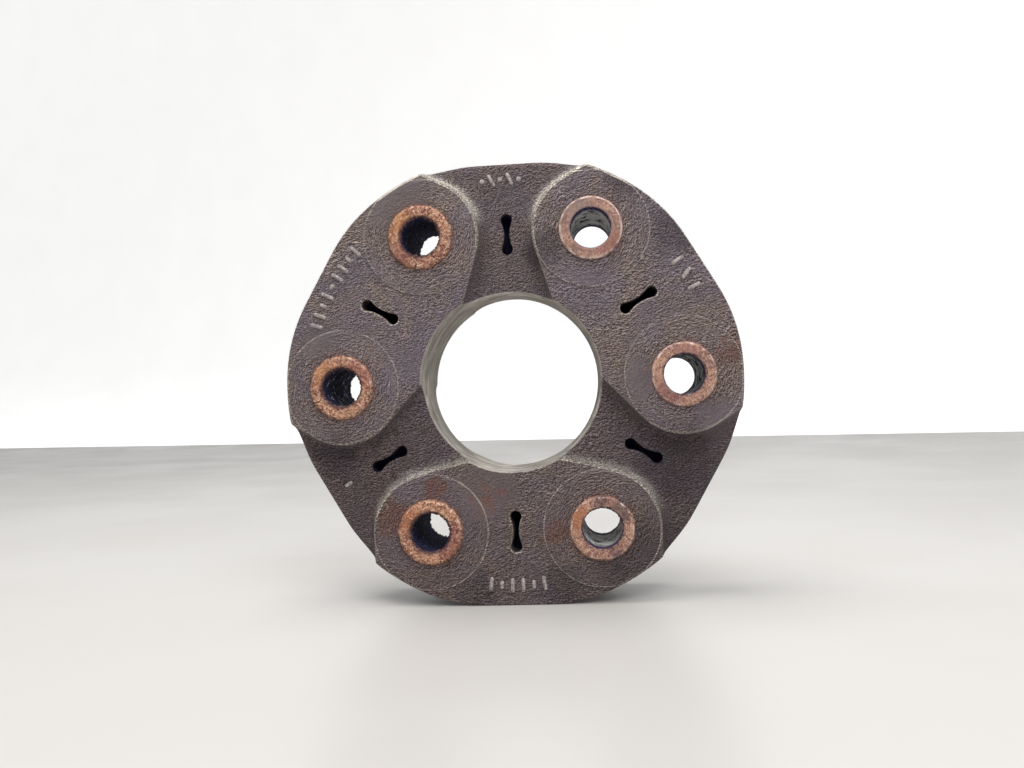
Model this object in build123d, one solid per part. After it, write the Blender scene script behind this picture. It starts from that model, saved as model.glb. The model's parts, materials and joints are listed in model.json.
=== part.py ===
"""Flexible disc coupling for a shaft: a rubber disc with six steel sleeves and moulded-in windings.

Millimetres. The disc is built about the Z axis, front face towards +Z, then stood on its rim:
the disc's axis lies along Y, the front faces -Y, and the origin is the disc's centre.
"""
from build123d import *
import math
import os

# ---- Driving dimensions ----

# Sleeves and the circle they stand on
FLANGE_ARMS = 3                 # arms on each of the two flanges that the disc joins
BOLT_CIRCLE_DIAMETER = 105.0
BOLT_HOLE_DIAMETER = 12.2       # clearance for an M12 bolt
SLEEVE_WALL = 3.6
SLEEVE_PROUD = 1.0              # how far a sleeve's ends stand out of the rubber
SLEEVE_OUTER_CHAMFER = 0.6
SLEEVE_BORE_CHAMFER = 0.5

# Cord windings round the sleeves, and the collars that part them
MIDDLE_WINDING_WIDTH = 10.8
OUTER_WINDING_WIDTH = 6.3
WINDING_ROUNDING = 1.0
COLLAR_FLANGE_THICKNESS = 1.0
COLLAR_WALL = 0.9
COLLAR_LIP = 0.4                # how far a collar's flange stands out past its windings

# Rubber body: cover over the windings
RIM_COVER = 2.8
BORE_COVER = 3.5
FACE_COVER = 2.5

# Rubber body: outline, a circle round the bosses with a flat between each two
BOSS_DIAMETER = 35.6
FLAT_DEPTH = 2.0
OUTLINE_BLEND = 50.0            # radius between flat and round
EDGE_ROUNDING = 1.2             # rim, and top edges of the recess walls
SECTOR_STEP = 0.3               # sector faces lie this far below the bosses

# Rubber body: recesses over the middle windings
RECESS_HALF_ANGLE_AT_BORE = 33.0
RECESS_HALF_ANGLE_AT_RIM = 21.5
RECESS_WALL_DRAFT = 15.0
RECESS_FOOT_RADIUS = 4.2

# Rubber body: centre bore, narrowest at the parting plane
BORE_DRAFT = 3.0
BORE_EDGE_ROUNDING = 0.5
PARTING_RIDGE_HEIGHT = 0.35
PARTING_RIDGE_WIDTH = 1.2

# Rubber body: relief slots, blind from both faces
SLOT_OFFSET = 0.5               # outwards from the line between the sleeves' axes
SLOT_LENGTH = 12.6
SLOT_END_DIAMETER = 3.4
SLOT_WAIST_WIDTH = 1.6
SLOT_WEB = 4.0                  # rubber left between a front slot and the rear one
SLOT_LIP_ROUNDING = 0.6

# ---- Worked out from the driving dimensions ----

SLEEVES = 2 * FLANGE_ARMS
PITCH = 360 / SLEEVES
BOLT_CIRCLE_RADIUS = BOLT_CIRCLE_DIAMETER / 2
GAP_RADIUS = BOLT_CIRCLE_RADIUS * math.cos(math.radians(PITCH / 2))
SLEEVE_RADIUS = BOLT_HOLE_DIAMETER / 2 + SLEEVE_WALL
COLLAR_HUB_RADIUS = SLEEVE_RADIUS + COLLAR_WALL
BOSS_RADIUS = BOSS_DIAMETER / 2
OUTLINE_RADIUS = BOLT_CIRCLE_RADIUS + BOSS_RADIUS
FLAT_DISTANCE = OUTLINE_RADIUS - FLAT_DEPTH
WINDING_RADIUS = BOSS_RADIUS - RIM_COVER
BORE_RADIUS = GAP_RADIUS - WINDING_RADIUS - BORE_COVER
OUTER_WINDING_BASE = MIDDLE_WINDING_WIDTH / 2 + COLLAR_FLANGE_THICKNESS
RECESS_FLOOR = OUTER_WINDING_BASE + FACE_COVER
SECTOR_FACE = OUTER_WINDING_BASE + OUTER_WINDING_WIDTH + FACE_COVER
BODY_HALF = SECTOR_FACE + SECTOR_STEP
BORE_MOUTH_RADIUS = BORE_RADIUS + BODY_HALF * math.tan(math.radians(BORE_DRAFT))
SLEEVE_LENGTH = 2 * (BODY_HALF + SLEEVE_PROUD)
SLOT_CENTRE_RADIUS = GAP_RADIUS + SLOT_OFFSET


def polar(radius, angle):
    """The point at a radius from the disc's axis, at an angle in degrees."""
    return Vector(radius * math.cos(math.radians(angle)), radius * math.sin(math.radians(angle)))


def tangent_point(point, centre, radius, side):
    """Where a line from a point touches a circle: on its right (side -1) or its left (side 1)."""
    away = point - centre
    turn = side * math.degrees(math.acos(radius / away.length))
    return centre + away.normalized().rotate(Axis.Z, turn) * radius


def outline_face():
    """The disc's outline: a circle with a flat between each two sleeves, blended into each other."""
    face = Circle(OUTLINE_RADIUS) & RegularPolygon(FLAT_DISTANCE, SLEEVES, major_radius=False)
    return fillet(face.vertices(), OUTLINE_BLEND)


def recess_plan():
    """Plan of the recess about the +X axis: round the two bosses, and straight to the bore and the rim."""
    plan_points = []
    for side in (1, -1):
        sleeve = polar(BOLT_CIRCLE_RADIUS, side * PITCH / 2)
        notch = polar(BORE_RADIUS, side * RECESS_HALF_ANGLE_AT_BORE)
        corner = polar(OUTLINE_RADIUS, side * RECESS_HALF_ANGLE_AT_RIM)
        inner_touch = tangent_point(notch, sleeve, BOSS_RADIUS, side)
        outer_touch = tangent_point(corner, sleeve, BOSS_RADIUS, -side)
        inside_bore = notch + (notch - inner_touch).normalized() * BORE_RADIUS / 2
        past_rim = corner + (corner - outer_touch).normalized() * BOSS_RADIUS
        far_out = past_rim + Vector(OUTLINE_RADIUS, 0)
        half = [inside_bore, inner_touch, sleeve, outer_touch, past_rim, far_out]
        plan_points += half if side == 1 else half[::-1]
    plan = make_face(Polyline(*plan_points, close=True))
    for side in (1, -1):
        sleeve = polar(BOLT_CIRCLE_RADIUS, side * PITCH / 2)
        plan -= Pos(*sleeve) * Circle(BOSS_RADIUS)
    return plan


def recess_cutter():
    """The recess about the +X axis in the front face: drafted walls, and a generous radius at their foot."""
    depth = BODY_HALF - RECESS_FLOOR
    cutter = extrude(Pos(0, 0, BODY_HALF) * recess_plan(), -depth, taper=RECESS_WALL_DRAFT)
    foot = cutter.edges().group_by(Axis.Z)[0]
    return fillet(foot, RECESS_FOOT_RADIUS)


def recess_cutters():
    """The recesses of both faces, one at every second gap between sleeves."""
    front = recess_cutter()
    rear = mirror(front, about=Plane.XY)
    angles = [90 + 2 * PITCH * arm for arm in range(FLANGE_ARMS)]
    return [Rot(0, 0, angle) * cutter for angle in angles for cutter in (front, rear)]


def sector_plan():
    """Plan of a full-thickness sector about the +X axis, outside its two boss circles."""
    half_pitch = PITCH / 2
    plan_points = [
        Vector(0, 0),
        polar(BOLT_CIRCLE_RADIUS - BOSS_RADIUS / 2, -PITCH),
        polar(BOLT_CIRCLE_RADIUS, -half_pitch),
        polar(2 * OUTLINE_RADIUS, -half_pitch),
        polar(2 * OUTLINE_RADIUS, half_pitch),
        polar(BOLT_CIRCLE_RADIUS, half_pitch),
        polar(BOLT_CIRCLE_RADIUS - BOSS_RADIUS / 2, PITCH),
    ]
    plan = make_face(Polyline(*plan_points, close=True))
    for side in (1, -1):
        plan -= Pos(*polar(BOLT_CIRCLE_RADIUS, side * half_pitch)) * Circle(BOSS_RADIUS)
    return plan


def sector_cutters():
    """What lowers the faces of the full-thickness sectors below the bosses."""
    cutter = extrude(Pos(0, 0, SECTOR_FACE) * sector_plan(), BODY_HALF)
    rear = mirror(cutter, about=Plane.XY)
    angles = [90 + PITCH + 2 * PITCH * arm for arm in range(FLANGE_ARMS)]
    return [Rot(0, 0, angle) * c for angle in angles for c in (cutter, rear)]


def slot_plan():
    """Plan of a relief slot along +X: two round ends and a waist whose flanks are arcs tangent to them."""
    end_radius = SLOT_END_DIAMETER / 2
    end_centre = SLOT_LENGTH / 2 - end_radius
    waist = SLOT_WAIST_WIDTH / 2
    flank_radius = (end_centre**2 + waist**2 - end_radius**2) / (2 * (end_radius - waist))
    touch_x = end_centre * flank_radius / (flank_radius + end_radius)
    touch_y = end_radius * (waist + flank_radius) / (flank_radius + end_radius)
    plan = Rectangle(2 * touch_x, 2 * touch_y)
    for side in (1, -1):
        plan -= Pos(0, side * (waist + flank_radius)) * Circle(flank_radius)
    for side in (1, -1):
        plan += Pos(side * end_centre, 0) * Circle(end_radius)
    return plan


def bore_cutter():
    """The centre bore: drafted from both faces, less a moulding ridge at the parting plane."""
    half_ridge = PARTING_RIDGE_WIDTH / 2
    ridge_foot = BORE_RADIUS + half_ridge * math.tan(math.radians(BORE_DRAFT))
    section = Polyline(
        (0, -BODY_HALF),
        (BORE_MOUTH_RADIUS, -BODY_HALF),
        (ridge_foot, -half_ridge),
        (BORE_RADIUS - PARTING_RIDGE_HEIGHT, 0),
        (ridge_foot, half_ridge),
        (BORE_MOUTH_RADIUS, BODY_HALF),
        (0, BODY_HALF),
        close=True,
    )
    return revolve(Plane.XZ * make_face(section), Axis.Z)


def reaches(edge):
    """The smallest and the largest distance of an edge from the disc's axis."""
    places = [edge.position_at(share / 4) for share in range(5)]
    distances = [math.hypot(place.X, place.Y) for place in places]
    return min(distances), max(distances)


def is_moulded_edge(edge):
    """Whether an edge of the blank is on its rim or tops a recess wall, and isn't a seam of the rim."""
    nearest, farthest = reaches(edge)
    heights = [edge.position_at(end).Z for end in (0, 1)]
    on_rim = nearest > FLAT_DISTANCE - 0.01 and heights[0] * heights[1] > 0
    on_face = min(abs(height) for height in heights) > BODY_HALF - 0.01
    return on_rim or (on_face and farthest > BORE_RADIUS)


def is_bore_edge(edge):
    """Whether an edge is on the mouth of the centre bore."""
    nearest, farthest = reaches(edge)
    lowest = min(abs(edge.position_at(end).Z) for end in (0, 1))
    return nearest > BORE_RADIUS + 0.1 and farthest < BORE_MOUTH_RADIUS + 0.1 and lowest > PARTING_RIDGE_WIDTH


def slot_cutters():
    """The relief slots of both faces, one between each two sleeves."""
    depth = BODY_HALF - SLOT_WEB / 2
    front = extrude(Pos(SLOT_CENTRE_RADIUS, 0, SLOT_WEB / 2) * slot_plan(), depth)
    rear = mirror(front, about=Plane.XY)
    angles = [90 + PITCH * gap for gap in range(SLEEVES)]
    return [Rot(0, 0, angle) * cutter for angle in angles for cutter in (front, rear)]


def is_slot_lip(edge):
    """Whether an edge is on the mouth of a relief slot."""
    nearest, farthest = reaches(edge)
    inner, outer = SLOT_CENTRE_RADIUS - SLOT_LENGTH / 2, SLOT_CENTRE_RADIUS + SLOT_LENGTH / 2
    centre = edge.center()
    gap_angle = (math.degrees(math.atan2(centre.Y, centre.X)) - 90) % PITCH
    off_line = math.hypot(centre.X, centre.Y) * math.sin(math.radians(min(gap_angle, PITCH - gap_angle)))
    heights = [edge.position_at(end).Z for end in (0, 1)]
    level = abs(heights[0] - heights[1]) < 0.01 and abs(heights[0]) > SLOT_WEB
    return level and nearest > inner - 0.1 and farthest < outer + 0.1 and off_line < SLOT_END_DIAMETER


def sleeve():
    """A steel sleeve on the disc's axis."""
    blank = Cylinder(SLEEVE_RADIUS, SLEEVE_LENGTH)
    blank = chamfer(blank.edges().filter_by(GeomType.CIRCLE), SLEEVE_OUTER_CHAMFER)
    tube = blank - Cylinder(BOLT_HOLE_DIAMETER / 2, SLEEVE_LENGTH)
    mouths = tube.edges().filter_by(GeomType.CIRCLE).filter_by(
        lambda edge: edge.radius < SLEEVE_RADIUS - SLEEVE_OUTER_CHAMFER - 0.01
    )
    return chamfer(mouths, SLEEVE_BORE_CHAMFER)


def collar():
    """A front collar: a flange against the middle winding, and a hub under the front one."""
    flange = extrude(Circle(WINDING_RADIUS + COLLAR_LIP), -COLLAR_FLANGE_THICKNESS)
    hub = extrude(Circle(COLLAR_HUB_RADIUS), OUTER_WINDING_WIDTH)
    return Pos(0, 0, OUTER_WINDING_BASE) * (flange + hub) - Cylinder(SLEEVE_RADIUS, SLEEVE_LENGTH)


def winding(inner_radius, base, width):
    """A cord winding round the pair of sleeves either side of the +X axis."""
    sleeves = [polar(BOLT_CIRCLE_RADIUS, side * PITCH / 2) for side in (1, -1)]
    middle = (sleeves[0] + sleeves[1]) / 2
    apart = (sleeves[0] - sleeves[1]).length
    outside = extrude(SlotCenterToCenter(apart, 2 * WINDING_RADIUS, rotation=90), width)
    outside = fillet(outside.edges().filter_by(Plane.XY), WINDING_ROUNDING)
    inside = extrude(SlotCenterToCenter(apart, 2 * inner_radius, rotation=90), width)
    return Pos(middle.X, middle.Y, base) * (outside - inside)


def build():
    """Every piece by name, about the Z axis."""
    pieces = {}
    for number in range(SLEEVES):
        seat = Pos(*polar(BOLT_CIRCLE_RADIUS, PITCH * number))
        pieces[f"sleeve_{number + 1}"] = seat * sleeve()
        pieces[f"front_collar_{number + 1}"] = seat * collar()
        pieces[f"rear_collar_{number + 1}"] = seat * mirror(collar(), about=Plane.XY)
    middle = winding(SLEEVE_RADIUS, -MIDDLE_WINDING_WIDTH / 2, MIDDLE_WINDING_WIDTH)
    front = winding(COLLAR_HUB_RADIUS, OUTER_WINDING_BASE, OUTER_WINDING_WIDTH)
    rear = mirror(front, about=Plane.XY)
    for arm in range(FLANGE_ARMS):
        recess_angle = 90 + 2 * PITCH * arm
        pieces[f"middle_winding_{arm + 1}"] = Rot(0, 0, recess_angle) * middle
        pieces[f"front_winding_{arm + 1}"] = Rot(0, 0, recess_angle + PITCH) * front
        pieces[f"rear_winding_{arm + 1}"] = Rot(0, 0, recess_angle + PITCH) * rear
    pieces["rubber_body"] = rubber_body(pieces.values())
    return pieces


def rubber_body(inserts):
    """The rubber, moulded round its sleeves, collars and windings."""
    body = extrude(outline_face(), BODY_HALF, both=True)
    for cutter in recess_cutters():
        body -= cutter
    body = fillet(body.edges().filter_by(is_moulded_edge), EDGE_ROUNDING)
    for cutter in sector_cutters():
        body -= cutter
    body -= bore_cutter()
    body = fillet(body.edges().filter_by(is_bore_edge), BORE_EDGE_ROUNDING)
    for cutter in slot_cutters():
        body -= cutter
    body = fillet(body.edges().filter_by(is_slot_lip), SLOT_LIP_ROUNDING)
    for number in range(SLEEVES):
        body -= Pos(*polar(BOLT_CIRCLE_RADIUS, PITCH * number)) * Cylinder(SLEEVE_RADIUS, SLEEVE_LENGTH)
    for insert in inserts:
        body -= insert
    return body


def main():
    os.makedirs("parts", exist_ok=True)
    upright = Rot(90, 0, 0)
    for name, piece in build().items():
        export_step(upright * piece, f"parts/{name}.step")


if __name__ == "__main__":
    main()
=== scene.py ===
"""Looks of the flexible disc coupling: aged rubber, rusted sleeves and the studio it stands in.

Metres, in the frame of the CAD: the disc's axis is Y, its front faces -Y, +Z is up.
Shader trees work in millimetres, from the Places on the disc group.
"""
import json
import math
from collections import namedtuple

import bpy
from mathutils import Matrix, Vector, noise


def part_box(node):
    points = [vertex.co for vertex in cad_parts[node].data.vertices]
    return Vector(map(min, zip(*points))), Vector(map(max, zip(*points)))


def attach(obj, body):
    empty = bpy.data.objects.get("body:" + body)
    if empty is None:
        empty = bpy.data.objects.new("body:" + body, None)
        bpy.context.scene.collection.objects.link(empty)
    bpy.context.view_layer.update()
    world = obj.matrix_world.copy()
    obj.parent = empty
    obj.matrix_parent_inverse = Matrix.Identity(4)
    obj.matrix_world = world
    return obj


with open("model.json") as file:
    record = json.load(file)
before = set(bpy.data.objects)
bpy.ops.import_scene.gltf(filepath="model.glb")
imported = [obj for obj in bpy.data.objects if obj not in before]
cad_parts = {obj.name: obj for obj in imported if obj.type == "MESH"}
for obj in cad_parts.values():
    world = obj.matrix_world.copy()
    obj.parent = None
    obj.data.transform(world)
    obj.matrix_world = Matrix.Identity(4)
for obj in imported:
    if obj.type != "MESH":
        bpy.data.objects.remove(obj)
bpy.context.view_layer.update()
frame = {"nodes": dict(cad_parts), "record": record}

MM = 0.001
FRONT, REAR = -1, 1

# ---- Sizes, from the frame ----

SLEEVE_COUNT = sum(1 for name in frame["nodes"] if name.startswith("sleeve_"))
PITCH = 2 * math.pi / SLEEVE_COUNT
BODY_LOW, BODY_HIGH = (Vector(corner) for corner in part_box("rubber_body"))
SLEEVE_LOW, SLEEVE_HIGH = (Vector(corner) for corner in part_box("sleeve_1"))
BOLT_CIRCLE_RADIUS = (SLEEVE_LOW.x + SLEEVE_HIGH.x) / 2
SLEEVE_RADIUS = (SLEEVE_HIGH.x - SLEEVE_LOW.x) / 2
SLEEVE_HALF = SLEEVE_HIGH.y
BOSS_FACE = BODY_HIGH.y
BOLT_HOLE_RADIUS = frame["record"]["mounts"][0]["dims"]["hole_r_mm"] * MM
FLOOR_HEIGHT = BODY_LOW.z
FLUSH_DEPTH = 15.2    # mm from the disc's middle plane to its face between two bosses
RECESS_DEPTH = 8.9    # mm from the middle plane to a recess's floor


def sleeve_centre(number):
    """The centre of a sleeve in the plane of the disc."""
    low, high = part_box(f"sleeve_{number}")
    return (low[0] + high[0]) / 2, (low[2] + high[2]) / 2


def tone(code):
    """A shader colour from a six-digit hex code."""
    channels = [int(code[i:i + 2], 16) / 255 for i in (0, 2, 4)]
    return [c / 12.92 if c <= 0.04045 else ((c + 0.055) / 1.055) ** 2.4 for c in channels] + [1.0]


# ---- Short hand for node trees ----

def put(tree, kind, sockets=None, **settings):
    """A new node, with its settings, and its inputs set to values or linked to sockets."""
    node = tree.nodes.new(kind)
    for key, value in settings.items():
        setattr(node, key, value)
    for key, value in (sockets or {}).items():
        if isinstance(value, bpy.types.NodeSocket):
            tree.links.new(value, node.inputs[key])
        else:
            node.inputs[key].default_value = value
    return node


def calc(tree, operation, first, second=0.0):
    """The result of one sum on numbers or sockets."""
    return put(tree, "ShaderNodeMath", {0: first, 1: second}, operation=operation).outputs[0]


def times(tree, first, *others):
    """The product of numbers or sockets."""
    for other in others:
        first = calc(tree, "MULTIPLY", first, other)
    return first


def plus(tree, first, *others):
    """The sum of numbers or sockets."""
    for other in others:
        first = calc(tree, "ADD", first, other)
    return first


def minus(tree, first, second):
    """One number or socket less another."""
    return calc(tree, "SUBTRACT", first, second)


def vector_calc(tree, operation, first, second=(0, 0, 0)):
    """The result of one sum on vectors."""
    return put(tree, "ShaderNodeVectorMath", {0: first, 1: second}, operation=operation).outputs[0]


def scaled(tree, vector, factor):
    """A vector times a number."""
    return put(tree, "ShaderNodeVectorMath", {0: vector, 3: factor}, operation="SCALE").outputs[0]


def length_of(tree, vector):
    """The length of a vector."""
    return put(tree, "ShaderNodeVectorMath", {0: vector}, operation="LENGTH").outputs[1]


def combine(tree, x, y, z):
    """A vector from three numbers or sockets."""
    return put(tree, "ShaderNodeCombineXYZ", {0: x, 1: y, 2: z}).outputs[0]


def parts_of(tree, vector):
    """The x, y and z of a vector."""
    return put(tree, "ShaderNodeSeparateXYZ", {0: vector}).outputs


def mix_values(tree, share, first, second):
    """Two numbers mixed by a share."""
    return put(tree, "ShaderNodeMix", {0: share, 2: first, 3: second}, data_type="FLOAT").outputs[0]


def rise(tree, value, low, high, bottom=0.0, top=1.0):
    """Bottom where value is at low, top where it is at high, and smooth between."""
    sockets = {0: value, 1: low, 2: high, 3: bottom, 4: top}
    return put(tree, "ShaderNodeMapRange", sockets, interpolation_type="SMOOTHSTEP").outputs[0]


def blend(tree, share, first, second, mode="MIX"):
    """Two colours mixed by a share."""
    sockets = {0: share, 6: first, 7: second}
    return put(tree, "ShaderNodeMix", sockets, data_type="RGBA", blend_type=mode).outputs[2]


def tint(tree, color, share, code):
    """A colour taken by a share towards a tone."""
    return blend(tree, share, color, tone(code))


def cloud(tree, place, scale, detail=3.0, rough=0.55, twist=0.0):
    """Noise from 0 to 1, with this many features to a millimetre."""
    sockets = {"Vector": place, "Scale": scale, "Detail": detail, "Roughness": rough, "Distortion": twist}
    return put(tree, "ShaderNodeTexNoise", sockets).outputs["Fac"]


def group_tree(name, inputs, outputs):
    """An empty node group with named sockets, each a (name, kind, default), and its end nodes."""
    tree = bpy.data.node_groups.new(name, "ShaderNodeTree")
    for label, kind, default in inputs:
        socket = tree.interface.new_socket(label, in_out="INPUT", socket_type=kind)
        if default is not None:
            socket.default_value = default
    for label, kind in outputs:
        tree.interface.new_socket(label, in_out="OUTPUT", socket_type=kind)
    start = tree.nodes.new("NodeGroupInput")
    end = tree.nodes.new("NodeGroupOutput")
    return tree, start.outputs, end.inputs


def use(tree, group, **inputs):
    """The outputs of a group placed in a tree. Input names have _ for spaces."""
    node = put(tree, "ShaderNodeGroup", node_tree=group)
    for name, value in inputs.items():
        socket = node.inputs[name.replace("_", " ")]
        if isinstance(value, bpy.types.NodeSocket):
            tree.links.new(value, socket)
        else:
            socket.default_value = value
    return node.outputs


FLOAT, COLOR, VECTOR = "NodeSocketFloat", "NodeSocketColor", "NodeSocketVector"


# ---- Node groups ----

def make_places():
    """Where a point lies on the disc, in millimetres, and which way its surface looks."""
    outputs = [("Place", VECTOR), ("Radius", FLOAT), ("Sleeve Distance", FLOAT), ("Across", FLOAT),
               ("Up", FLOAT), ("Depth", FLOAT), ("Uphill", FLOAT), ("Facing", FLOAT)]
    tree, _, end = group_tree("Places on the disc", [], outputs)
    place = scaled(tree, put(tree, "ShaderNodeTexCoord").outputs["Object"], 1 / MM)
    x, y, z = parts_of(tree, place)
    radius = length_of(tree, combine(tree, x, 0.0, z))
    angle = times(tree, calc(tree, "ROUND", calc(tree, "DIVIDE", calc(tree, "ARCTAN2", z, x), PITCH)), PITCH)
    circle = BOLT_CIRCLE_RADIUS / MM
    across = minus(tree, x, times(tree, calc(tree, "COSINE", angle), circle))
    up = minus(tree, z, times(tree, calc(tree, "SINE", angle), circle))
    distance = length_of(tree, combine(tree, across, 0.0, up))
    normal = put(tree, "ShaderNodeNewGeometry").outputs["True Normal"]
    _, normal_y, normal_z = parts_of(tree, normal)
    flatness = calc(tree, "MAXIMUM", minus(tree, 1.0, calc(tree, "POWER", normal_y, 2.0)), 0.0001)
    uphill = calc(tree, "DIVIDE", normal_z, calc(tree, "SQRT", flatness))
    results = [place, radius, distance, across, up, calc(tree, "ABSOLUTE", y), uphill,
               calc(tree, "ABSOLUTE", normal_y)]
    for socket, result in zip(end, results):
        tree.links.new(result, socket)
    return tree


def make_wrinkles():
    """Fine wrinkles along the X of a vector, with grit on them, as a height."""
    tree, start, end = group_tree("Wrinkles", [("Vector", VECTOR, None)], [("Height", FLOAT)])
    squiggle = cloud(tree, start["Vector"], 0.8, 2.0, 0.6, 0.5)
    grit = cloud(tree, start["Vector"], 1.15, 4.0, 0.8)
    pillow = rise(tree, calc(tree, "ABSOLUTE", minus(tree, squiggle, 0.5)), 0.0, 0.12)
    gritty = rise(tree, grit, 0.40, 0.62)
    tree.links.new(plus(tree, times(tree, pillow, 0.45), times(tree, gritty, 0.55)), end[0])
    return tree


LEVEL_STRETCH = (1.0, 1.8, 1.8)    # how much closer the level wrinkles lie upward than along
RINGS_AROUND = 12.0                # how closely the ringed wrinkles follow each other round a sleeve
RINGS_OUTWARD = 1.7                # and outward from it


def grain_height(tree, wrinkles, around, place, across, up, push):
    """The grain's height at a place: level wrinkles on the faces, ringed ones round a sleeve."""
    pushed = vector_calc(tree, "ADD", place, push)
    level = use(tree, wrinkles, Vector=vector_calc(tree, "MULTIPLY", pushed, LEVEL_STRETCH))["Height"]
    distance = length_of(tree, combine(tree, across, 0.0, up))
    steps = calc(tree, "DIVIDE", RINGS_AROUND, calc(tree, "MAXIMUM", distance, 1.0))
    outward = plus(tree, times(tree, distance, RINGS_OUTWARD), times(tree, parts_of(tree, place)[1], 0.3))
    ringed = combine(tree, times(tree, across, steps), outward, times(tree, up, steps))
    wavy = vector_calc(tree, "ADD", ringed, vector_calc(tree, "MULTIPLY", push, (0.5, 0.9, 0.5)))
    rings = use(tree, wrinkles, Vector=wavy)["Height"]
    return mix_values(tree, around, level, rings)


def make_moulded_grain(wrinkles):
    """Wrinkled grain of moulded rubber: its height, and a shade with painted light on each bump's upper side
    and painted shade on its lower side, over the grain's own tone.
    """
    inputs = [("Place", VECTOR, None), ("Sleeve Distance", FLOAT, 30.0), ("Across", FLOAT, 0.0),
              ("Up", FLOAT, 0.0)]
    tree, start, end = group_tree("Moulded grain", inputs, [("Height", FLOAT), ("Shade", FLOAT)])
    place, across, up = start["Place"], start["Across"], start["Up"]
    drift = put(tree, "ShaderNodeTexNoise", {"Vector": place, "Scale": 0.06, "Detail": 2.0}).outputs["Color"]
    push = scaled(tree, vector_calc(tree, "SUBTRACT", drift, (0.5, 0.5, 0.5)), 7.0)
    ragged_distance = plus(tree, start["Sleeve Distance"], times(tree, cloud(tree, place, 0.1, 2.0), 10.0))
    around = rise(tree, ragged_distance, 24.5, 18.5)
    height = grain_height(tree, wrinkles, around, place, across, up, push)
    # Painted relief light: the grain's height less its height a little up and to the left, towards the light,
    # lights each bump's upper side and shades its lower side.
    left, higher = -0.12, 0.25
    above = grain_height(tree, wrinkles, around, vector_calc(tree, "ADD", place, (left, 0.0, higher)),
                         plus(tree, across, left), plus(tree, up, higher), push)
    painted_relief_light = times(tree, minus(tree, height, above), 0.75)
    tree.links.new(height, end[0])
    tree.links.new(plus(tree, painted_relief_light, times(tree, height, 0.4), 0.28), end[1])
    return tree


def make_rust():
    """Rust on steel: brown and orange patches, pale crumbs and dark pits."""
    inputs = [("Place", VECTOR, None), ("Heaviness", FLOAT, 0.5), ("Seed", FLOAT, 0.0)]
    tree, start, end = group_tree("Rust", inputs, [("Color", COLOR), ("Roughness", FLOAT), ("Height", FLOAT)])
    heaviness = start["Heaviness"]
    place = vector_calc(tree, "ADD", start["Place"], combine(tree, start["Seed"], start["Seed"], 0.0))
    patches = cloud(tree, place, 0.2, 3.0, 0.6, 0.8)
    crumbs = cloud(tree, place, 1.1, 4.0, 0.8, 0.3)
    grains = cloud(tree, place, 2.0, 3.0, 0.8)
    smooth_rust = blend(tree, rise(tree, patches, 0.35, 0.65), tone("84685F"), tone("AC8376"))
    heavy_rust = blend(tree, rise(tree, patches, 0.38, 0.62), tone("9C6657"), tone("CC9674"))
    color = blend(tree, heaviness, smooth_rust, heavy_rust)
    pale_share = rise(tree, heaviness, 0.0, 1.0, 0.4, 0.95)
    color = tint(tree, color, times(tree, rise(tree, crumbs, 0.49, 0.58), pale_share), "E9C2A6")
    color = tint(tree, color, rise(tree, grains, 0.47, 0.40, 0.0, 0.95), "43282C")
    pit_share = rise(tree, heaviness, 0.0, 1.0, 0.4, 0.9)
    color = tint(tree, color, times(tree, rise(tree, crumbs, 0.43, 0.35), pit_share), "3B262C")
    rough = rise(tree, grains, 0.3, 0.7, 0.62, 0.95)
    height = plus(tree, crumbs, times(tree, grains, 0.5))
    for socket, result in zip(end, [color, rough, height]):
        tree.links.new(result, socket)
    return tree


def make_patch():
    """One patch with a ragged edge: a centre in the plane of the disc, a size and a raggedness, in mm."""
    inputs = [("Place", VECTOR, None), ("Centre", VECTOR, None), ("Size", FLOAT, 5.0), ("Ragged", FLOAT, 4.0)]
    tree, start, end = group_tree("Ragged patch", inputs, [("Mask", FLOAT)])
    offset = vector_calc(tree, "SUBTRACT", start["Place"], start["Centre"])
    distance = length_of(tree, vector_calc(tree, "MULTIPLY", offset, (1, 0, 1)))
    swing = minus(tree, cloud(tree, start["Place"], 0.25, 5.0, 0.7), 0.5)
    frayed = plus(tree, distance, times(tree, swing, start["Ragged"], 2.5))
    tree.links.new(rise(tree, calc(tree, "DIVIDE", frayed, start["Size"]), 1.35, 0.45), end["Mask"])
    return tree


PLACES = make_places()
MOULDED_GRAIN = make_moulded_grain(make_wrinkles())
RUST = make_rust()
PATCH = make_patch()


def new_material(name):
    """A material with an empty Principled surface, and its tree and shader."""
    material = bpy.data.materials.new(name)
    material.use_nodes = True
    tree = material.node_tree
    shader = next(node for node in tree.nodes if node.type == "BSDF_PRINCIPLED")
    return material, tree, shader


def finish_surface(tree, shader, color, roughness, height, bump_depth):
    """Feeds colour, roughness and a bump of this depth in metres to a shader."""
    tree.links.new(color, shader.inputs["Base Color"])
    tree.links.new(roughness, shader.inputs["Roughness"])
    bump = put(tree, "ShaderNodeBump", {"Height": height, "Strength": 1.0, "Distance": bump_depth})
    tree.links.new(bump.outputs[0], shader.inputs["Normal"])


def patches_mask(tree, place, patches):
    """The masks of several patches added up, each patch an (x, z, size, raggedness)."""
    total = None
    for x, z, size, ragged in patches:
        mask = use(tree, PATCH, Place=place, Centre=(x, 0, z), Size=size, Ragged=ragged)["Mask"]
        total = mask if total is None else calc(tree, "MAXIMUM", total, mask)
    return total


# ---- Materials ----

BOSS_LINE_RADIUS = 17.75       # mm from a sleeve's centre to the line round its boss
BORE_EDGE = 28.2               # mm, the radius at which the bore's dust begins
INSIDE_SLOTS = (29.5, 30.5)    # mm, the radii over which the slots' painted shade begins
OUTSIDE_SLOTS = (62.0, 61.0)   # and ends

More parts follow.
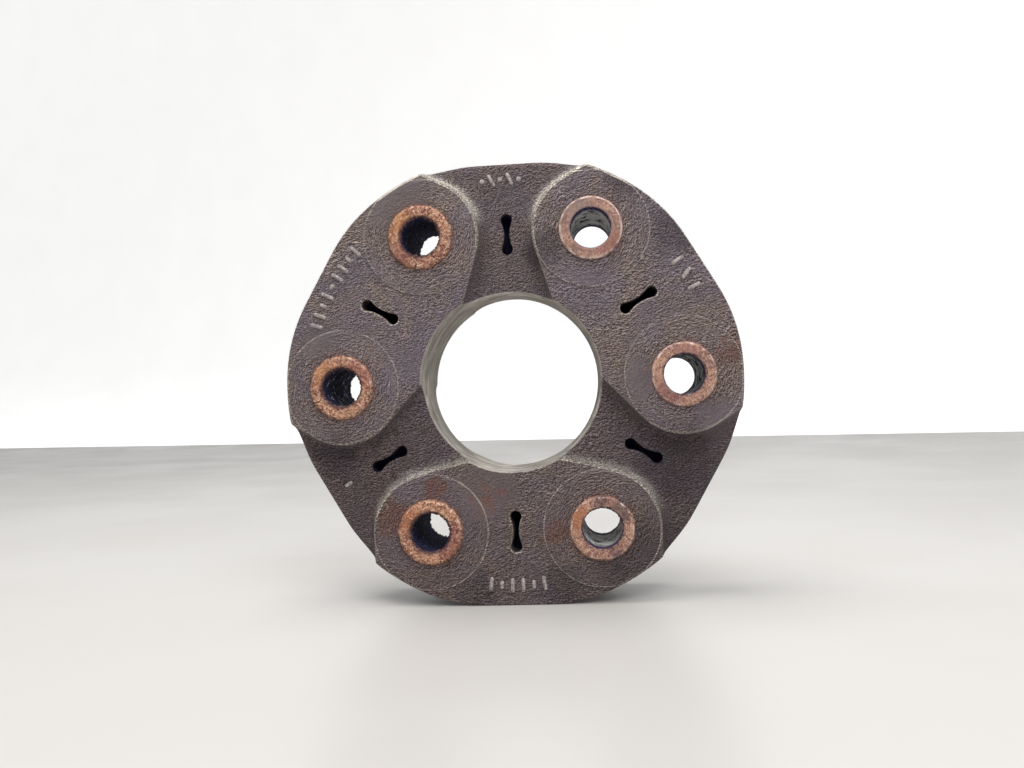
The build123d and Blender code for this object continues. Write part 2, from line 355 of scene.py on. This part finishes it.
POLISHED_PATCHES = (
    # x, z, size, raggedness: where the rubber is rubbed smooth and grey
    (-34, 58, 12, 6),
    (-8, -33, 11, 6),
    (40, 0, 7, 5),
    (62, -14, 7, 6),
    (-59, 14, 6, 5),
)
GRIME_PATCHES = (
    # x, z, size, raggedness: dark grime, most of it low down
    (38, -56, 15, 6),
    (50, -28, 13, 6),
    (14, -64, 8, 5),
    (-12, -64, 6, 5),
    (-56, -22, 8, 6),
    (52, 44, 8, 6),
    (37, 60, 7, 5),
    (12, 40, 7, 5),
)
RED_STAINS = (
    # x, z, size, raggedness: rust bled into the rubber
    (-38.5, -41, 5.5, 7),
    (-8, -36, 4, 8),
    (12, -47, 4, 6),
    (68, 6, 5, 8),
    (-24, -33, 4, 8),
)


def rubber_ground(tree, at, broad, smear, polished):
    """The rubber's own tones, violet grey and brown grey: smeared, rubbed smooth, grimy in patches; with
    painted shade low down, in the recesses and round the outer rim.
    """
    place = at["Place"]
    height_above = parts_of(tree, place)[2]
    color = blend(tree, rise(tree, broad, 0.35, 0.65), tone("857880"), tone("94837C"))
    color = tint(tree, color, rise(tree, smear, 0.55, 0.75, 0.0, 0.3), "97887E")
    color = tint(tree, color, rise(tree, smear, 0.42, 0.28, 0.0, 0.4), "645A63")
    color = tint(tree, color, times(tree, polished, 0.6), "565056")
    # Painted shade: darker towards the bottom, away from the light above.
    color = tint(tree, color, rise(tree, height_above, 20.0, -60.0, 0.0, 0.45), "5F4C47")
    # Painted shade: darker down in the recesses.
    color = tint(tree, color, rise(tree, at["Depth"], 13.5, RECESS_DEPTH + 0.6, 0.0, 0.4), "5A4D50")
    color = tint(tree, color, times(tree, patches_mask(tree, place, GRIME_PATCHES), 0.55), "423A42")
    # Painted shade: darker where the surface turns away from the front, on the outer rim.
    painted_rim_shade = rise(tree, at["Facing"], 0.35, 0.15, 0.0, 0.5)
    return tint(tree, color, painted_rim_shade, "4C4248")


def rust_stained(tree, at, color):
    """A colour with rust bled into it, in patches and round the sleeves."""
    place = at["Place"]
    color = tint(tree, color, times(tree, patches_mask(tree, place, RED_STAINS), 0.55), "80513F")
    near_sleeve = rise(tree, at["Sleeve Distance"], 13.0, 9.6)
    blotches = rise(tree, cloud(tree, place, 0.5, 4.0, 0.65), 0.45, 0.65, 0.0, 0.65)
    return tint(tree, color, times(tree, near_sleeve, blotches), "7B5548")


def dust_wear_and_highlights(tree, at, color, broad, smear):
    """A colour with dust and a painted highlight on the recess walls that look up, brighter higher up; worn
    edges with a painted highlight; and a pale line round each boss, worn and a painted highlight of its step.
    """
    height_above = parts_of(tree, at["Place"])[2]
    slope = times(tree, rise(tree, at["Facing"], 0.985, 0.94), rise(tree, at["Facing"], 0.05, 0.15))
    uphill = times(tree, slope, rise(tree, at["Uphill"], 0.1, 0.5))
    # Dust and painted highlight on the recess walls that look up, brighter higher up, nearer the light above.
    shelf = times(tree, rise(tree, height_above, 20.0, 58.0, 0.45, 1.0), rise(tree, at["Depth"], 9.0, 12.5))
    color = tint(tree, color, times(tree, uphill, shelf, rise(tree, smear, 0.3, 0.5, 0.55, 1.0)), "EFE6DA")

    # Worn edges with a painted highlight along the recess walls' top edges, brighter higher up.
    edge = times(tree, slope, rise(tree, at["Depth"], FLUSH_DEPTH - 1.0, FLUSH_DEPTH - 0.5))
    worn_and_highlit = times(tree, edge, rise(tree, broad, 0.4, 0.6, 0.5, 1.0),
                 rise(tree, height_above, -60.0, 20.0, 0.35, 1.0))
    color = tint(tree, color, times(tree, worn_and_highlit, 0.8), "CABDAD")

    # A pale line round each boss: a worn step edge and a painted highlight of it.
    from_boss_edge = calc(tree, "ABSOLUTE", minus(tree, at["Sleeve Distance"], BOSS_LINE_RADIUS))
    line = times(tree, rise(tree, from_boss_edge, 0.12, 0.28, 1.0, 0.0),
                 rise(tree, at["Depth"], FLUSH_DEPTH - 0.3, FLUSH_DEPTH - 0.1))
    return tint(tree, color, times(tree, line, rise(tree, smear, 0.3, 0.5, 0.4, 0.9)), "B3A8A2")


def grained(tree, color, shade, contrast):
    """A colour made lighter and darker by the grain's shade: painted light and shade on the grain's bumps, and
    the grain's own tone.
    """
    swing = times(tree, minus(tree, shade, 0.5), times(tree, contrast, 3.0))
    grey = calc(tree, "MAXIMUM", plus(tree, swing, 1.06), 0.2)
    grey_color = put(tree, "ShaderNodeCombineColor", {0: grey, 1: grey, 2: grey}).outputs[0]
    return blend(tree, 1.0, color, grey_color, "MULTIPLY")


def bore_dust(tree, at):
    """Pale dust in streaks round the bore, even along its lip and its parting ridge."""
    streaks = cloud(tree, vector_calc(tree, "MULTIPLY", at["Place"], (0.12, 0.5, 0.12)), 1.0, 3.0, 0.6, 0.6)
    color = blend(tree, rise(tree, streaks, 0.38, 0.62), tone("BDB4A9"), tone("F2EBE1"))
    lip = rise(tree, at["Depth"], FLUSH_DEPTH - 1.0, FLUSH_DEPTH - 0.4)
    color = tint(tree, color, times(tree, lip, 0.8), "DDD6CC")
    ridge = rise(tree, at["Depth"], 1.2, 0.5)
    return tint(tree, color, times(tree, ridge, 0.7), "DCD4C8")


def aged_rubber():
    """Dark rubber gone grey and dusty, stained round the sleeves, pale in the bore, with painted shade dark in
    the slots, recesses, rim and low down, and painted highlights on upward walls, edges and the grain.
    """
    material, tree, shader = new_material("aged rubber")
    at = use(tree, PLACES)
    place = at["Place"]
    grain = use(tree, MOULDED_GRAIN, Place=place, Sleeve_Distance=at["Sleeve Distance"],
                Across=at["Across"], Up=at["Up"])
    broad = cloud(tree, place, 0.05, 3.0, 0.6, 0.8)
    smear = cloud(tree, place, 0.2, 4.0, 0.62, 0.5)
    polished = patches_mask(tree, place, POLISHED_PATCHES)
    contrast = times(tree, rise(tree, polished, 0.0, 1.0, 1.0, 0.35), rise(tree, broad, 0.3, 0.6, 0.65, 1.0))

    color = rubber_ground(tree, at, broad, smear, polished)
    color = rust_stained(tree, at, color)
    color = dust_wear_and_highlights(tree, at, color, broad, smear)
    # Painted light and shade on the grain's bumps, with its own tone.
    color = grained(tree, color, grain["Shade"], contrast)
    color = tint(tree, color, rise(tree, cloud(tree, place, 3.0, 1.0), 0.76, 0.84, 0.0, 0.7), "BBAFA8")
    color = blend(tree, rise(tree, at["Radius"], BORE_EDGE, BORE_EDGE - 0.5), color, bore_dust(tree, at))
    # Painted shade: the deep slots painted near black.
    painted_slot_shade = times(tree, rise(tree, at["Depth"], RECESS_DEPTH - 0.3, RECESS_DEPTH - 0.9),
                    rise(tree, at["Radius"], *INSIDE_SLOTS), rise(tree, at["Radius"], *OUTSIDE_SLOTS))
    color = tint(tree, color, painted_slot_shade, "20204A")

    height = plus(tree, times(tree, grain["Height"], contrast), times(tree, smear, 0.8))
    finish_surface(tree, shader, color, rise(tree, smear, 0.3, 0.7, 0.62, 0.85), height, 0.9 * MM)
    shader.inputs["Specular IOR Level"].default_value = 0.4
    return material


def rubbed_highlit_rubber():
    """Raised marks rubbed paler than the rubber round them, and painted paler still as a highlight on their
    raised strokes.
    """
    material, tree, shader = new_material("rubbed highlit rubber")
    rub = cloud(tree, use(tree, PLACES)["Place"], 1.2, 4.0, 0.7)
    color = blend(tree, rise(tree, rub, 0.38, 0.62), tone("7A7071"), tone("B2A8A3"))
    finish_surface(tree, shader, color, rise(tree, rub, 0.3, 0.7, 0.85, 0.65), rub, 0.1 * MM)
    return material


def spotted(tree, place, color, number, spots):
    """A colour with a sleeve's worn and stained spots laid over it."""
    centre_x, centre_z = sleeve_centre(number)
    for across, up, size, code in spots:
        centre = (centre_x / MM + across, 0, centre_z / MM + up)
        mask = use(tree, PATCH, Place=place, Centre=centre, Size=size, Ragged=3.0)["Mask"]
        color = tint(tree, color, times(tree, mask, 0.55), code)
    return color


def sleeve_end(tree, at, rust, number, look):
    """The colour of a sleeve's end: turning marks on the rust, spots, a painted highlight along the outer
    edge, and an inner edge in painted shade on heavy rust.
    """
    distance = at["Sleeve Distance"]
    rings = cloud(tree, combine(tree, times(tree, distance, 3.2), look.seed, 0.0), 1.0, 2.0)
    turning = rise(tree, rings, 0.42, 0.62, 0.0, 0.45)
    color = tint(tree, rust["Color"], times(tree, turning, 1.0 - look.heaviness), "A3918E")
    color = spotted(tree, at["Place"], color, number, look.spots)
    # Painted highlight: a pale line along the sleeve's outer edge, broken in places.
    from_rim = calc(tree, "ABSOLUTE", minus(tree, distance, SLEEVE_RADIUS / MM - 0.4))
    broken = rise(tree, cloud(tree, at["Place"], 0.5, 3.0), 0.4, 0.6, 0.1, 0.95 - 0.5 * look.heaviness)
    color = tint(tree, color, times(tree, rise(tree, from_rim, 0.1, 0.4, 1.0, 0.0), broken), "E3CFC6")
    # The inner edge: painted shade on heavy rust, a pinkish tone on light rust.
    inner_tone = "4F3843" if look.heaviness > 0.5 else "A5857E"
    return tint(tree, color, rise(tree, distance, 7.1, 6.5, 0.0, 0.5), inner_tone)


def rusted_steel(number, look):
    """A sleeve's rusted steel, with a painted highlight along its outer edge, and painted shade dark navy in
    its bore, with pale flecks and grey residue.
    """
    material, tree, shader = new_material(f"rusted sleeve {number}")
    at = use(tree, PLACES)
    place = at["Place"]
    rust = use(tree, RUST, Place=place, Heaviness=look.heaviness, Seed=look.seed)
    deep = rise(tree, at["Depth"], 14.0, 9.0)
    crust_noise = cloud(tree, place, 0.4, 4.0, 0.7)
    crust = times(tree, deep, rise(tree, crust_noise, 0.66 - look.residue, 0.74 - look.residue))
    flecks = rise(tree, cloud(tree, place, 1.3, 3.0, 0.7), 0.60, 0.68, 0.0, 0.8)
    # Painted shade: the bore painted dark navy, with pale flecks and grey residue over it.
    bore = tint(tree, blend(tree, flecks, tone("2A2B4E"), tone("C8C8D4")), crust, "EFEDE9")
    in_bore = rise(tree, at["Sleeve Distance"], BOLT_HOLE_RADIUS / MM + 0.25, BOLT_HOLE_RADIUS / MM + 0.05)
    color = blend(tree, in_bore, sleeve_end(tree, at, rust, number, look), bore)
    bare = times(tree, in_bore, minus(tree, 1.0, crust))
    rough = mix_values(tree, bare, rust["Roughness"], 0.8)
    finish_surface(tree, shader, color, rough, rust["Height"], 0.3 * MM)
    shader.inputs["Specular IOR Level"].default_value = 0.08
    return material


def rust_scale(number, look):
    """Flaking scale on a sleeve's end, with painted shade towards the bore."""
    material, tree, shader = new_material(f"rust scale {number}")
    at = use(tree, PLACES)
    distance = at["Sleeve Distance"]
    rust = use(tree, RUST, Place=at["Place"], Heaviness=look.heaviness, Seed=look.seed)
    color = spotted(tree, at["Place"], rust["Color"], number, look.spots)
    # Painted shade: darker towards the bore.
    color = tint(tree, color, rise(tree, distance, 7.2, 6.2, 0.0, 0.8), "3A2833")
    color = tint(tree, color, rise(tree, distance, 9.5, 10.4, 0.0, 0.7), "5E4038")
    finish_surface(tree, shader, color, rust["Roughness"], rust["Height"], 0.4 * MM)
    shader.inputs["Specular IOR Level"].default_value = 0.25
    return material


def plated_steel():
    """Dull plated steel of the moulded-in collars."""
    material, tree, shader = new_material("plated collar steel")
    place = use(tree, PLACES)["Place"]
    mottling = cloud(tree, place, 0.4, 4.0, 0.6)
    scratches = cloud(tree, vector_calc(tree, "MULTIPLY", place, (0.3, 6.0, 0.3)), 1.0, 3.0)
    color = blend(tree, rise(tree, mottling, 0.35, 0.65), tone("8F8B80"), tone("B4AF9F"))
    finish_surface(tree, shader, color, rise(tree, scratches, 0.3, 0.7, 0.3, 0.55), scratches, 0.02 * MM)
    shader.inputs["Metallic"].default_value = 1.0
    return material


def wound_cord():
    """Rubber-soaked cord, in turns along the winding."""
    material, tree, shader = new_material("wound cord")
    place = use(tree, PLACES)["Place"]
    turns = put(tree, "ShaderNodeTexWave", {"Vector": place, "Scale": 0.32, "Distortion": 1.2, "Detail": 2.0},
                bands_direction="Y").outputs["Fac"]
    fibres = cloud(tree, place, 2.5, 3.0)
    color = blend(tree, turns, tone("5C4A33"), tone("A58C5F"))
    color = tint(tree, color, rise(tree, fibres, 0.45, 0.7, 0.0, 0.4), "C7B48A")
    finish_surface(tree, shader, color, rise(tree, fibres, 0.3, 0.7, 0.7, 0.95), turns, 0.3 * MM)
    return material


def pale_paint(name, code, glow):
    """Matt pale paint, lifted towards white where it is seen directly or through gloss."""
    material, tree, shader = new_material(name)
    mottling = cloud(tree, use(tree, PLACES)["Place"], 0.01, 3.0)
    color = tint(tree, tone(code), rise(tree, mottling, 0.3, 0.7, 0.0, 0.06), "C8C4BC")
    finish_surface(tree, shader, color, rise(tree, mottling, 0.3, 0.7, 0.3, 0.4), mottling, 0.02 * MM)
    tree.links.new(color, shader.inputs["Emission Color"])
    rays = put(tree, "ShaderNodeLightPath").outputs
    seen = calc(tree, "MAXIMUM", rays["Is Camera Ray"], rays["Is Glossy Ray"])
    tree.links.new(times(tree, seen, glow), shader.inputs["Emission Strength"])
    return material


# ---- Dressing the CAD nodes ----

SleeveLook = namedtuple("SleeveLook", "heaviness seed residue spots")
SLEEVE_LOOKS = {
    # heaviness of the rust, seed, share of grey residue in the bore,
    # and worn or stained spots, each an (across, up, size, tone) from the sleeve's centre
    1: SleeveLook(0.30, 3.0, 0.20, ((-5, -6, 4.5, "70434A"), (1, 7, 3.5, "A87A6E"))),
    2: SleeveLook(0.15, 17.0, 0.26, ((-4, 6.5, 5, "857873"), (6, -5, 4.5, "8A5A50"))),
    3: SleeveLook(0.95, 29.0, 0.02, ((-6, 5, 4, "C08A5C"), (-5, -5, 4, "8C5A55"))),
    4: SleeveLook(0.85, 41.0, 0.10, ((-6, 5, 4, "C08A5C"), (6, 4, 4, "9A625A"))),
    5: SleeveLook(0.90, 53.0, 0.00, ((-6, 4, 4, "A86A48"), (6, -3, 5, "8A5350"))),
    6: SleeveLook(0.40, 67.0, 0.26, ((6, 5.5, 4.2, "45434B"), (0, 8.3, 3, "4C4146"),
                                     (3, -7.5, 2.4, "4A3F4A"), (-7, 3, 4, "A8693F"))),
}

RUBBER = aged_rubber()
RUBBED_HIGHLIT_RUBBER = rubbed_highlit_rubber()
SLEEVE_STEELS = {number: rusted_steel(number, look) for number, look in SLEEVE_LOOKS.items()}
SCALES = {number: rust_scale(number, look) for number, look in SLEEVE_LOOKS.items()}
COLLAR_STEEL = plated_steel()
CORD = wound_cord()


def node_material(name):
    """The material of a CAD node, by its name."""
    if name == "rubber_body":
        return RUBBER
    if name.startswith("sleeve_"):
        return SLEEVE_STEELS[int(name.rsplit("_", 1)[1])]
    return COLLAR_STEEL if "collar" in name else CORD


for name, node in frame["nodes"].items():
    for material_slot in node.material_slots:
        material_slot.material = node_material(name)


# ---- Rust scale on the sleeve ends ----

def add_mesh(name, vertices, faces, material):
    """A mesh piece that rides with the disc."""
    mesh = bpy.data.meshes.new(name)
    mesh.from_pydata(vertices, [], faces)
    mesh.polygons.foreach_set("use_smooth", [True] * len(faces))
    mesh.update()
    piece = bpy.data.objects.new(name, mesh)
    bpy.context.collection.objects.link(piece)
    mesh.materials.append(material)
    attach(piece, "root")


def scale_profile():
    """Points from inside the bore, over the sleeve's end, down to the rubber, as (radius, height), in mm."""
    bore, outside = BOLT_HOLE_RADIUS / MM, SLEEVE_RADIUS / MM
    face, rubber = SLEEVE_HALF / MM, BOSS_FACE / MM
    corners = [(bore, face - 2.2), (bore, face - 0.5), (bore + 0.5, face), (outside - 0.6, face),
               (outside, face - 0.6), (outside, rubber), (outside + 1.0, rubber)]
    spacing = 0.2
    points = []
    for (r0, h0), (r1, h1) in zip(corners, corners[1:]):
        count = max(2, round(math.hypot(r1 - r0, h1 - h0) / spacing))
        points += [(r0 + (r1 - r0) * i / count, h0 + (h1 - h0) * i / count) for i in range(count)]
    return points + [corners[-1]]


def profile_normals(points):
    """The outward direction at each point of a profile, evened out over its neighbours."""
    normals = []
    for i in range(len(points)):
        (r0, h0), (r1, h1) = points[max(i - 2, 0)], points[min(i + 2, len(points) - 1)]
        length = math.hypot(r1 - r0, h1 - h0)
        normals.append((-(h1 - h0) / length, (r1 - r0) / length))
    return normals


SCALE_PROFILE = scale_profile()
SCALE_NORMALS = profile_normals(SCALE_PROFILE)
SCALE_STEPS_ROUND = 240
SCALE_SEAT = 0.08       # mm, how far the lightest rust lies under the steel
SCALE_EDGE_DIP = 0.25   # mm, how far the skin's two edges dip under the surface
SCALE_FADE_STEPS = 4


def scale_thickness(spot, index, heaviness):
    """How far the rust stands out at a spot, in mm, by its place along the profile."""
    lumps = noise.fractal(spot * 0.6, 0.8, 2.1, 3)
    crumbs = noise.fractal(spot * 1.9, 0.7, 2.2, 3)
    from_end = min(index, len(SCALE_PROFILE) - 1 - index)
    fade = min(from_end / SCALE_FADE_STEPS, 1.0)
    thick = heaviness * (0.2 + 0.35 * lumps + 0.55 * crumbs) - SCALE_SEAT
    return thick * fade - SCALE_EDGE_DIP * (1 - fade)


def scale_ring(number, side, heaviness):
    """A rough skin of rust over one end of a sleeve, closed through the steel under it."""
    centre_x, centre_z = sleeve_centre(number)
    across = len(SCALE_PROFILE)
    vertices, faces = [], []
    for step in range(SCALE_STEPS_ROUND):
        turn = 2 * math.pi * step / SCALE_STEPS_ROUND
        cos, sin = math.cos(turn), math.sin(turn)
        for index, ((radius, height), (out_r, out_h)) in enumerate(zip(SCALE_PROFILE, SCALE_NORMALS)):
            spot = Vector((radius * cos, radius * sin, height + 40 * number + 17 * side))
            thick = scale_thickness(spot, index, heaviness)
            r, h = radius + out_r * thick, height + out_h * thick
            vertices.append((centre_x + r * cos * MM, side * h * MM, centre_z + r * sin * MM))
    for step in range(SCALE_STEPS_ROUND):
        here, there = step * across, (step + 1) % SCALE_STEPS_ROUND * across
        for index in range(across):
            onward = (index + 1) % across
            face = (here + index, there + index, there + onward, here + onward)
            faces.append(face if side == REAR else face[::-1])
    end_name = "front" if side == FRONT else "rear"
    add_mesh(f"{end_name}_scale_{number}", vertices, faces, SCALES[number])


for number, look in SLEEVE_LOOKS.items():
    for side in (FRONT, REAR):
        scale_ring(number, side, look.heaviness)


# ---- Raised marks on the front, plain bars and pips ----

MARK_HEIGHT = 0.5 * MM
MARK_SINK = 0.2 * MM
# share of the width, and height
MARK_RINGS = ((1.0, -MARK_SINK), (0.86, 0.6 * MARK_HEIGHT), (0.55, MARK_HEIGHT))
MARK_STEPS = 16


def bar(vertices, faces, centre, along, length, width, ground):
    """Adds a raised bar with sloped sides and rounded ends to a mesh; a pip is a bar as long as wide."""
    across = Vector((along.z, 0, -along.x))
    base = len(vertices)
    straight = max(length - width, 0) / 2
    for share, height in MARK_RINGS:
        for step in range(MARK_STEPS):
            turn = 2 * math.pi * (step + 0.5) / MARK_STEPS
            end = straight if math.cos(turn) > 0 else -straight
            reach = width / 2 * share
            offset = along * (end + math.cos(turn) * reach) + across * (math.sin(turn) * reach)
            vertices.append((centre.x + offset.x, -(ground + height), centre.z + offset.z))
    for ring in range(len(MARK_RINGS) - 1):
        low, high = base + ring * MARK_STEPS, base + (ring + 1) * MARK_STEPS
        for step in range(MARK_STEPS):
            onward = (step + 1) % MARK_STEPS
            faces.append((low + step, high + step, high + onward, low + onward))
    top = base + (len(MARK_RINGS) - 1) * MARK_STEPS
    faces.append(tuple(top + step for step in range(MARK_STEPS))[::-1])
    faces.append(tuple(base + step for step in range(MARK_STEPS)))


def row_of_marks(name, radius, start, end, shapes, ground):
    """A row of raised marks on an arc between two angles in degrees, each shape a (length, width, lean)."""
    vertices, faces = [], []
    for index, (length, width, lean) in enumerate(shapes):
        share = index / max(len(shapes) - 1, 1)
        turn = math.radians(start + (end - start) * share)
        centre = Vector((math.cos(turn), 0, math.sin(turn))) * radius * MM
        lean_turn = turn + math.radians(lean)
        along = Vector((math.cos(lean_turn), 0, math.sin(lean_turn)))
        bar(vertices, faces, centre, along, length * MM, width * MM, ground)
    add_mesh(name, vertices, faces, RUBBED_HIGHLIT_RUBBER)


FLUSH_FACE = FLUSH_DEPTH * MM
RECESS_FLOOR = RECESS_DEPTH * MM
# length and width in mm, and the lean from the radius in degrees
LONG_BAR, SHORT_BAR, LEANING_BAR, PIP = (4.4, 1.3, 0), (2.8, 1.3, 0), (4.4, 1.3, 24), (1.8, 1.8, 0)

row_of_marks("upper_left_marks", 63.0, 162, 138,
             [LONG_BAR, LONG_BAR, SHORT_BAR, LONG_BAR, PIP, LONG_BAR, LONG_BAR, SHORT_BAR, LONG_BAR],
             FLUSH_FACE)
row_of_marks("upper_right_marks", 62.3, 33.5, 25, [LONG_BAR, LEANING_BAR, LONG_BAR], FLUSH_FACE)
row_of_marks("bottom_marks", 62.2, 262.5, 277.5,
             [LONG_BAR, SHORT_BAR, LONG_BAR, LONG_BAR, SHORT_BAR, LONG_BAR], FLUSH_FACE)
row_of_marks("top_marks", 63.3, 96.5, 86, [PIP, LEANING_BAR, PIP, LEANING_BAR, PIP], RECESS_FLOOR)
row_of_marks("lower_left_mark", 61.3, 209.8, 209.8, [SHORT_BAR], RECESS_FLOOR)


# ---- Stage, light and camera ----

def sweep_backdrop():
    """A floor that curves up into a backdrop well behind the disc."""
    half_width, front, back, bend, top, bend_steps = 3.0, -2.5, 0.9, 0.5, 2.4, 12
    profile = [(front, 0.0), (back, 0.0)]
    for step in range(1, bend_steps + 1):
        turn = math.pi / 2 * step / bend_steps
        profile.append((back + bend * math.sin(turn), bend - bend * math.cos(turn)))
    profile.append((back + bend, top))
    vertices = [(side * half_width, y, FLOOR_HEIGHT + z) for y, z in profile for side in (-1, 1)]
    faces = [(2 * i, 2 * i + 1, 2 * i + 3, 2 * i + 2) for i in range(len(profile) - 1)]
    mesh = bpy.data.meshes.new("backdrop")
    mesh.from_pydata(vertices, [], faces)
    mesh.polygons.foreach_set("use_smooth", [True] * len(faces))
    backdrop = bpy.data.objects.new("backdrop", mesh)
    backdrop.rotation_euler.z = math.radians(-22)
    bpy.context.collection.objects.link(backdrop)
    mesh.materials.append(pale_paint("pale floor", "BFBCB8", 0.05))
    mesh.materials.append(pale_paint("pale backdrop", "EBEBEA", 0.78))
    for index, polygon in enumerate(mesh.polygons):
        polygon.material_index = 1 if index > 1 else 0


def soft_light(name, location, size, watts):
    """A square soft box that faces the disc."""
    data = bpy.data.lights.new(name, "AREA")
    data.shape = "SQUARE"
    data.size = size
    data.energy = watts
    lamp = bpy.data.objects.new(name, data)
    lamp.location = location
    lamp.rotation_euler = (-Vector(location)).to_track_quat("-Z", "Y").to_euler()
    bpy.context.collection.objects.link(lamp)


def light_studio():
    """Even light from all round, a large soft box overhead and a weaker one in front."""
    world = bpy.data.worlds.new("studio")
    bpy.context.scene.world = world
    world.use_nodes = True
    background = next(node for node in world.node_tree.nodes if node.type == "BACKGROUND")
    background.inputs["Color"].default_value = tone("F4F4F6")
    background.inputs["Strength"].default_value = 0.4
    soft_light("overhead", (-0.15, -0.05, 0.8), size=0.6, watts=7.0)
    soft_light("front fill", (0.15, -0.5, 0.45), size=0.4, watts=3.0)


def place_camera():
    """A camera level with the disc's middle, 0.3 m in front and a little to the right."""
    data = bpy.data.cameras.new("camera")
    data.sensor_width = 36
    data.lens = 32.75
    data.clip_start = 0.01
    data.clip_end = 20
    camera = bpy.data.objects.new("camera", data)
    camera.location = (0.0270, -0.2984, -0.0061)
    camera.rotation_euler = [math.radians(angle) for angle in (91.04, 2.20, 5.39)]
    bpy.context.collection.objects.link(camera)
    bpy.context.scene.camera = camera


sweep_backdrop()
light_studio()
place_camera()
bpy.context.scene.view_settings.view_transform = "Standard"
